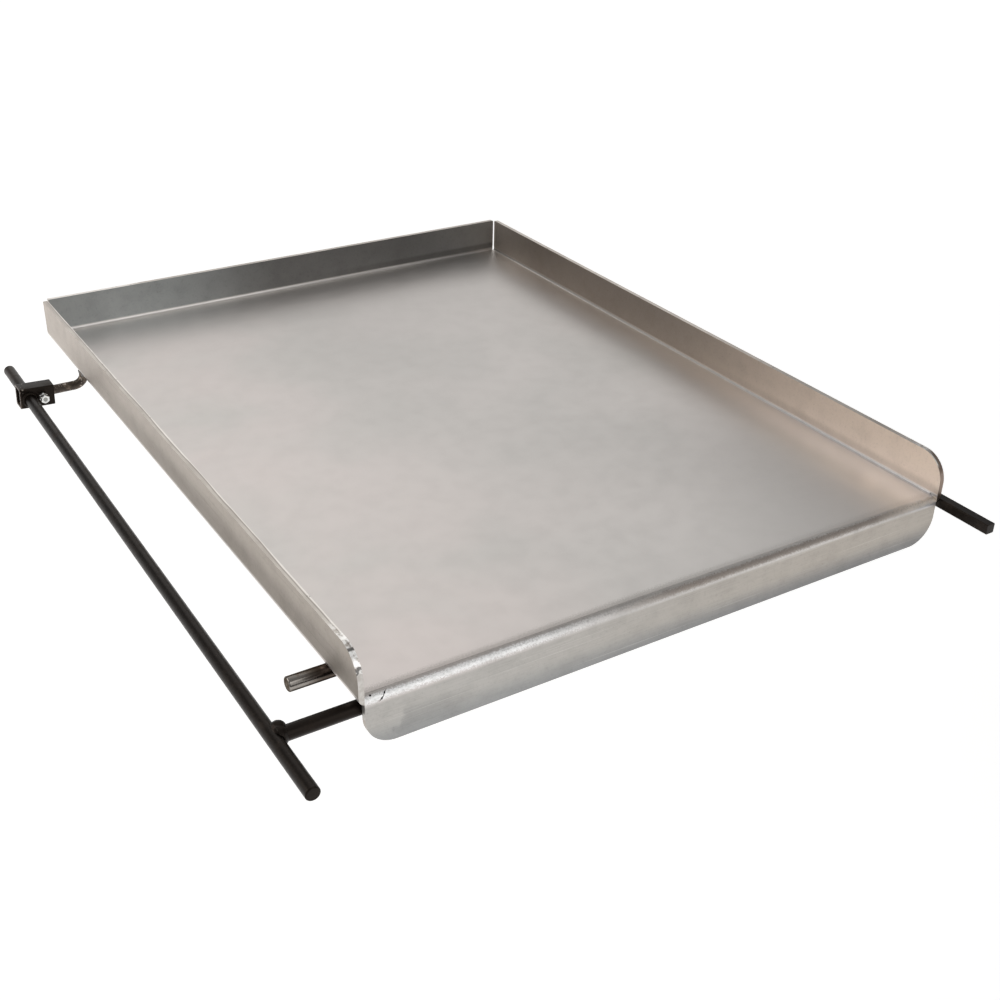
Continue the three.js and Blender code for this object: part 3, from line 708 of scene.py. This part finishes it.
def clamp_fastener():
    """The clamp screw and its lock nut, each with a thread of its own, on the same axis."""
    low, high = layout_box("clamp_screw")
    nut_low, nut_high = layout_box("lock_nut")
    axis = mm((low.x + high.x) / 2, 0, (low.z + high.z) / 2)

    shank_from = low.y + HEX_HEIGHT
    rings = [(low.y + HOLLOW_FLOOR["depth"], steady(HOLLOW_FLOOR["radius"])), (low.y, steady(COUNTERSINK))]
    rings += hex_rings(low.y, False)
    rings += [(shank_from, steady(SCREW_RADIUS)), (shank_from + 0.8, steady(SCREW_RADIUS))]
    y = shank_from + 0.9
    while y < high.y - 0.6:
        rings.append((y, threaded(y, SCREW_RADIUS, THREAD["depth"], THREAD["pitch"])))
        y += THREAD["step"]
    rings += [(high.y - 0.5, steady(TIP_RADII[0])), (high.y, steady(TIP_RADII[1]))]
    turned = tower("clamp_screw_turned", rings, TURNED_SIDES, False)
    screw = placed("clamp_screw_turned", turned, "clamp_screw")
    screw.data.transform(Matrix.Translation(axis))
    shade(screw, THREAD_CREASE)
    declare(screw, "clamp_screw")

    rings = hex_rings(nut_low.y, True)
    bore = []
    y = nut_low.y + 0.5
    while y < nut_high.y - 0.5:
        bore.append((y, threaded(y, NUT_THREAD["radius"], NUT_THREAD["depth"], THREAD["pitch"])))
        y += THREAD["step"]
    rings += [(nut_high.y, steady(COUNTERSINK))] + bore[::-1] + [(nut_low.y, steady(COUNTERSINK))]
    nut = placed("lock_nut_tapped", tower("lock_nut_tapped", rings, TURNED_SIDES, True), "lock_nut")
    nut.data.transform(Matrix.Translation(axis))
    shade(nut, THREAD_CREASE)
    declare(nut, "lock_nut")


def around(node, first, second):
    """How far round a bead's middle a point is, in millimetres on a ring of the bars' radius."""
    low, high = layout_box(node)
    middle = (low + high) / 2
    ring = ROD_RADIUS * 1.2

    def along(*point):
        return ring * math.atan2(point[second] - middle[second], point[first] - middle[first])

    return along


def along_axis(axis, node, bow=0.35):
    """How far along a straight bead a point is, with the ripples bowed across its width."""
    low, high = layout_box(node)
    middle = (low + high) / 2
    across = 1 - axis
    return lambda *point: point[axis] + bow * abs(point[across] - middle[across])


TEE_HEAP = ((-61.8, 14.0, -12.8), (4.6, 7.6, 4.9))  # its middle and its radii

# Each piece that keeps its CAD shape with its edges rounded: its name, its node and the rounding's width.
ROUNDED_PIECES = (
    ("square_rest_rail", "right_rest_rail", 0.3),
    ("round_support_rail", "left_support_rail", 0.3),
    ("round_cross_rod", "front_cross_rod", 0.3),
    ("stub_rod", "front_stub_rod", 0.3),
    ("clamp_tube", "rear_clamp_tube", 0.4),
    ("clamp_arm", "rear_clamp_arm", 0.25),
    ("keeper_left", "cross_rod_keeper_left", 0.4),
    ("keeper_right", "cross_rod_keeper_right", 0.4),
)

fold_pan()
for name, node, edge in ROUNDED_PIECES:
    refined(name, node, edge)
clamp_fastener()
for node in ("clamp_tube_weld_front", "clamp_tube_weld_rear", "rear_arm_weld"):
    rippled(node + "_bead", node, around(node, 0, 2 if "tube" in node else 1), depth=0.35, voxel=0.25)
rippled("tee_weld_bead", "tee_weld", around("tee_weld", 1, 2), pitch=3.4, depth=0.22, voxel=0.3,
        heap=TEE_HEAP)
for node in ("keeper_weld_left", "keeper_weld_right", "stub_weld_front", "stub_weld_rear"):
    rippled(node + "_bead", node, along_axis(0, node))
for index in range(1, 5):
    node = f"rest_rail_weld_{index}"
    rippled(node + "_bead", node, along_axis(1, node))
for node in sorted(PLAIN_NODES):
    frame["nodes"][node].data.materials.clear()
    frame["nodes"][node].data.materials.append(FINISHES[SLOT_OF[node]])


# ---- floor, light and camera ---------------------------------------------------------------------------
FLOOR_BELOW = 1.1  # metres under the griddle, which hangs by its rails
FLOOR_HALF = 12.0  # metres from the floor's middle to its edge
LAMP_DISTANCE = 4.0  # metres from the griddle to each softbox
CAMERA_CLIP = (0.02, 60.0)
CAMERA_PLACE = mm(-331.6, -686.6, 596.4)
CAMERA_BACK = Vector((-0.46877, -0.73109, 0.49575))
CAMERA_ROLL = math.radians(1.34)
CAMERA_LENS = 49.0
SENSOR = 36.0
STUDIO_GREY = 0.36


def add_floor():
    def build(bm):
        bmesh.ops.create_grid(bm, x_segments=8, y_segments=8, size=FLOOR_HALF)

    mesh = mesh_from("floor", build)
    floor = bpy.data.objects.new("floor", mesh)
    floor.location = (0, 0, -FLOOR_BELOW)
    floor.data.materials.append(pale_floor())
    bpy.context.scene.collection.objects.link(floor)


def softbox(name, azimuth, elevation, width, height, radiance, colour=(1, 1, 1)):
    """A rectangular light facing the griddle. Azimuth 0 is behind it, at +Y, and 90 to its right, at +X."""
    a, e = math.radians(azimuth), math.radians(elevation)
    away = Vector((math.sin(a) * math.cos(e), math.cos(a) * math.cos(e), math.sin(e)))
    data = bpy.data.lights.new(name, "AREA")
    data.shape = "RECTANGLE"
    data.size, data.size_y = width, height
    data.energy = radiance * math.pi * width * height
    data.color = colour
    lamp = bpy.data.objects.new(name, data)
    lamp.location = away * LAMP_DISTANCE
    lamp.rotation_mode = "QUATERNION"
    lamp.rotation_quaternion = away.to_track_quat("Z", "Y")
    bpy.context.scene.collection.objects.link(lamp)


def add_world():
    """A dim grey studio whose walls are lit white near the floor."""
    world = bpy.data.worlds.new("studio")
    world.use_nodes = True
    tree = world.node_tree
    where = tree.nodes.new("ShaderNodeTexCoord")
    split = tree.nodes.new("ShaderNodeSeparateXYZ")
    fade = tree.nodes.new("ShaderNodeMapRange")
    fade.interpolation_type = "SMOOTHSTEP"
    for socket, value in (("From Min", 0.02), ("From Max", 0.24), ("To Min", 1.0), ("To Max", STUDIO_GREY)):
        fade.inputs[socket].default_value = value
    tree.links.new(where.outputs["Generated"], split.inputs[0])
    tree.links.new(split.outputs["Z"], fade.inputs["Value"])
    tree.links.new(fade.outputs[0], tree.nodes["Background"].inputs["Color"])
    bpy.context.scene.world = world


def add_light():
    softbox("back_softbox", 20, 34, 3.75, 2.6, 0.74, (1.0, 0.985, 0.965))
    softbox("left_softbox", -71, 30, 2.4, 2.4, 3.0, (1.0, 0.955, 0.90))
    softbox("front_softbox", 167, 30, 1.8, 3.0, 1.2)
    softbox("top_softbox", 0, 88, 4.5, 4.5, 0.35)


def add_camera():
    data = bpy.data.cameras.new("camera")
    data.lens = CAMERA_LENS
    data.sensor_width = SENSOR
    data.clip_start, data.clip_end = CAMERA_CLIP
    camera = bpy.data.objects.new("camera", data)
    camera.location = CAMERA_PLACE
    camera.rotation_mode = "QUATERNION"
    aim = CAMERA_BACK.to_track_quat("Z", "Y")
    camera.rotation_quaternion = aim @ Matrix.Rotation(CAMERA_ROLL, 4, "Z").to_quaternion()
    bpy.context.scene.collection.objects.link(camera)
    bpy.context.scene.camera = camera


add_floor()
add_world()
add_light()
add_camera()
bpy.context.scene.view_settings.view_transform = "Standard"
